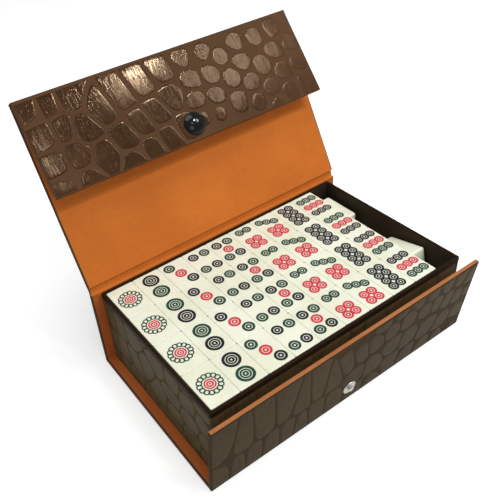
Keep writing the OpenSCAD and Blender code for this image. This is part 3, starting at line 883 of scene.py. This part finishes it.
def dot_circles(number, row):
    """Circles of a dot tile: ink, place from the tile's middle, radius, level."""
    outer_row = row in (0, 3)
    if number == 2:
        inks = ("k", "g") if outer_row else ("g", "k")
        return [(c, 0, 6.7 * side, 5.75, 0) for c, side in zip(inks, (1, -1))]
    if number == 3:
        inks = ("g", "r", "k") if outer_row else ("k", "r", "g")
        return [(c, -4.1 * side, 8.7 * side, 4.0, 0) for c, side in zip(inks, (1, 0, -1))]
    if number in (4, 5):
        corners = ((-1, 1, "k"), (1, 1, "g"), (-1, -1, "g"), (1, -1, "k"))
        middle = [("r", 0, 0, 3.75, 0)] if number == 5 else []
        return [(c, 4.6 * dx, 7.9 * dy, 3.75, 0) for dx, dy, c in corners] + middle
    if number in (6, 7):
        red = [("r", 3.15 * dx, -3.3 - 6.2 * k, 3.46, k + (dx > 0)) for dx in (-1, 1) for k in (0, 1)]
        if number == 6:
            return red + [("g", 3.2 * dx, 9.3, 3.38, dx > 0) for dx in (-1, 1)]
        return red + [("g", 5.1 * i, 6.9 - 2.35 * i, 3.2, i) for i in (-1, 0, 1)]
    if number == 8:
        return [("k", 3.15 * dx, 6.15 * (1.5 - k), 3.38, k + (dx > 0)) for dx in (-1, 1) for k in range(4)]
    inks = ("g", "r", "k") if row < 2 else ("k", "r", "g")
    return [(c, 5.5 * i, dy, 3.25, i) for c, dy in zip(inks, (8.5, 0.0, -8.5)) for i in (-1, 0, 1)]


def tile_marks(meshes, number, row, cx, cy):
    """Adds a tile's marks to the meshes of the inks."""
    if number == 1:
        flower(meshes, cx, cy)
        return
    rings = BIG if number == 2 else SMALL
    for ink_name, x, y, r, level in dot_circles(number, row):
        disc_rings(meshes[ink_name], cx + x, cy + y, r, rings, level_z(level), 40 if r > 4 else 28)


for number in range(1, 10):
    meshes = {c: bmesh.new() for c in INKS}
    for row in range(4):
        tile_marks(meshes, number, row, *tile_middle(number - 1, row))
    for c, bm in meshes.items():
        if len(bm.verts):
            add_object(f"marks_{number}_{c}", bm, CASE, INKS[c], "case", "tile", (), 40, False)
        else:
            bm.free()

# ---------------------------------------------------------------- loose tiles
# On their long edges at the right end, on tiles that stand on end. The front one is tilted
STACK_Z = TILE_FLOOR + TILE_PITCH[1]
SPARE_HALF = Vector((TILE[2] / 2 - 0.03, TILE[1] / 2, TILE[0] / 2))
RAISE = Matrix.Translation((0, 0, TILE_PITCH[0] / 2))
for name, x, y, tilt in (("back", 88.45, 39.6, 0), ("front", 90.95, -27.0, -13.5)):
    place = Matrix.Translation((x, y, STACK_Z)) @ Matrix.Rotation(math.radians(tilt), 4, "X") @ RAISE
    bm = bmesh.new()
    rounded_box(bm, -SPARE_HALF, SPARE_HALF, 1.7, 5)
    add_object("spare_" + name, bm, place, mat_tile, "case", "tile", ("spare_tile_" + name,))

# ---------------------------------------------------------------- press stud
CAP_R, CAP_HEIGHT = 8.0, 3.2
CAP_RIM = CAP_HEIGHT / 6              # radius of the cap's rolled rim


def cap_profile():
    """Flat-topped dome with a rolled rim, rising against Z."""
    profile = [(0, -CAP_HEIGHT)]
    for t in (i / 12 for i in range(1, 13)):
        profile.append((t * (CAP_R - CAP_RIM), -CAP_HEIGHT + (CAP_HEIGHT - CAP_RIM * 2.1) * t ** 2.6))
    for a in (math.radians(60 - 150 * i / 8) for i in range(1, 9)):
        profile.append((CAP_R - CAP_RIM * (1 - math.cos(a)), -CAP_RIM * (1 + math.sin(a))))
    return profile + [(6.5, 0.0), (0, 0.0)]


# Radius, and height over the flap's lining
SOCKET = ((0, -1.4), (2.3, -1.4), (2.3, 0.35), (2.5, 0.55), (2.9, 0.6), (3.4, 0.42), (4.6, 0.42), (5.0, 0.6),
          (5.4, 0.45), (5.5, 0.2), (5.4, 0), (2.6, -0.1), (2.6, -1.6), (0, -1.6))
# Radius, and height against the front panel's outer face
STUD = ((0, -2.25), (1.3, -2.23), (1.85, -2.1), (2.08, -1.8), (1.95, -1.5), (1.6, -1.35), (1.6, -0.5),
        (1.9, -0.34), (2.6, -0.4), (2.9, -0.3), (3.2, -0.16), (4.0, -0.16), (4.3, -0.32),
        (4.75, -0.42), (5.1, -0.3), (5.2, 0.0), (0, 0.05))


def turned(name, board, y, profile, steps, material, slot, stands_for, smooth):
    """Turned piece of the press stud, at a distance y from its board's fold."""
    bm = bmesh.new()
    lathe(bm, profile, steps, y)
    add_object(name, bm, ON[board], material, BODY[board], slot, (stands_for,), smooth)


turned("cap_dome", "flap", SNAP_ON_FLAP, cap_profile(), 96, mat_cap, "cap_black", "snap_cap", 60)
turned("socket_ring", "flap", SNAP_ON_FLAP, [(r, PANEL + z) for r, z in SOCKET], 64, mat_nickel,
       "snap_metal", "snap_socket", 40)
turned("stud_ring", "front", SNAP_ON_FRONT, STUD, 72, mat_nickel, "snap_metal", "snap_stud", 50)

# ---------------------------------------------------------------- pieces shown as constructed
for material, names in (
        (mat_tile, ("bamboo_tiles", "character_tiles", "wind_tiles", "dragon_tiles", "flower_tiles",
                    "spare_tiles_below")),
        (mat_ground, ("flap_strip",)),
        (mat_orange, ("flap_strip_lining",)),
        (mat_tray_paper, ("tray_lining",)),
        (mat_nickel, ("snap_spring", "snap_rivet")),
        (mat_board, ("base_board", "spine_board", "lid_board", "flap_board", "front_board", "tray_floor",
                     "tray_front_wall", "tray_back_wall", "tray_left_wall", "tray_right_wall"))):
    for name in names:
        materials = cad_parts[name].data.materials
        materials.clear()
        materials.append(material)


# ---------------------------------------------------------------- floor and light
def white_floor():
    """Floor that the camera and reflections see bright, and that lights the case dimly."""
    mesh = bpy.data.meshes.new("floor")
    bm = bmesh.new()
    bmesh.ops.create_grid(bm, x_segments=1, y_segments=1, size=20.0)
    bm.to_mesh(mesh)
    bm.free()
    floor = bpy.data.objects.new("floor", mesh)
    floor.location = (0, 0, -0.0002)
    bpy.context.scene.collection.objects.link(floor)
    material, tree, shader = new_material("floor_white")
    mesh.materials.append(material)
    feed(tree, shader, {"Base Color": (0.45, 0.45, 0.45), "Roughness": 0.9, "Specular IOR Level": 0.1})
    rays = node(tree, "LightPath", {}).outputs
    seen = calculate(tree, "MAXIMUM", rays["Is Camera Ray"], rays["Is Glossy Ray"])
    seen = calculate(tree, "MAXIMUM", seen, rays["Is Transmission Ray"])
    glow = node(tree, "Emission", {"Strength": 0.40})
    matt = node(tree, "BsdfDiffuse", {"Color": (0.86, 0.86, 0.86)})
    bright = node(tree, "AddShader", {0: glow.outputs[0], 1: matt.outputs[0]})
    surface = node(tree, "MixShader", {0: seen, 1: shader.outputs[0], 2: bright.outputs[0]})
    output = next(n for n in tree.nodes if n.type == "OUTPUT_MATERIAL")
    feed(tree, output, {"Surface": surface.outputs[0]})


def soft_light(name, location, target, size, power):
    """Rectangular lamp at a place in metres that looks at a target."""
    data = bpy.data.lights.new(name, "AREA")
    data.shape = "RECTANGLE"
    data.size, data.size_y = size
    data.energy = power
    lamp = bpy.data.objects.new(name, data)
    lamp.location = location
    lamp.rotation_euler = (Vector(target) - Vector(location)).to_track_quat("-Z", "Y").to_euler()
    bpy.context.scene.collection.objects.link(lamp)


white_floor()
world = bpy.data.worlds.new("studio")
bpy.context.scene.world = world
world.use_nodes = True
background = next(n for n in world.node_tree.nodes if n.type == "BACKGROUND")
feed(world.node_tree, background, {"Color": (1, 1, 1), "Strength": 0.42})
soft_light("key", (0.53, -0.37, 0.79), (0.02, 0.04, 0.08), (0.17, 0.14), 1.6)
soft_light("top", (0.0, 0.1, 1.25), (0, 0, 0.05), (0.8, 0.6), 5.4)
soft_light("fill", (-0.25, -1.1, 0.75), (0, 0, 0.08), (0.6, 0.5), 2.6)
# Small lamps whose reflections lie on the flap, in its middle and at its left end
soft_light("glint", (0.40, -0.39, 0.925), (-0.016, 0.118, 0.178), (0.09, 0.035), 2.8)
soft_light("edge_glint", (0.12, -0.464, 0.818), (-0.1, 0.09, 0.147), (0.025, 0.12), 0.45)
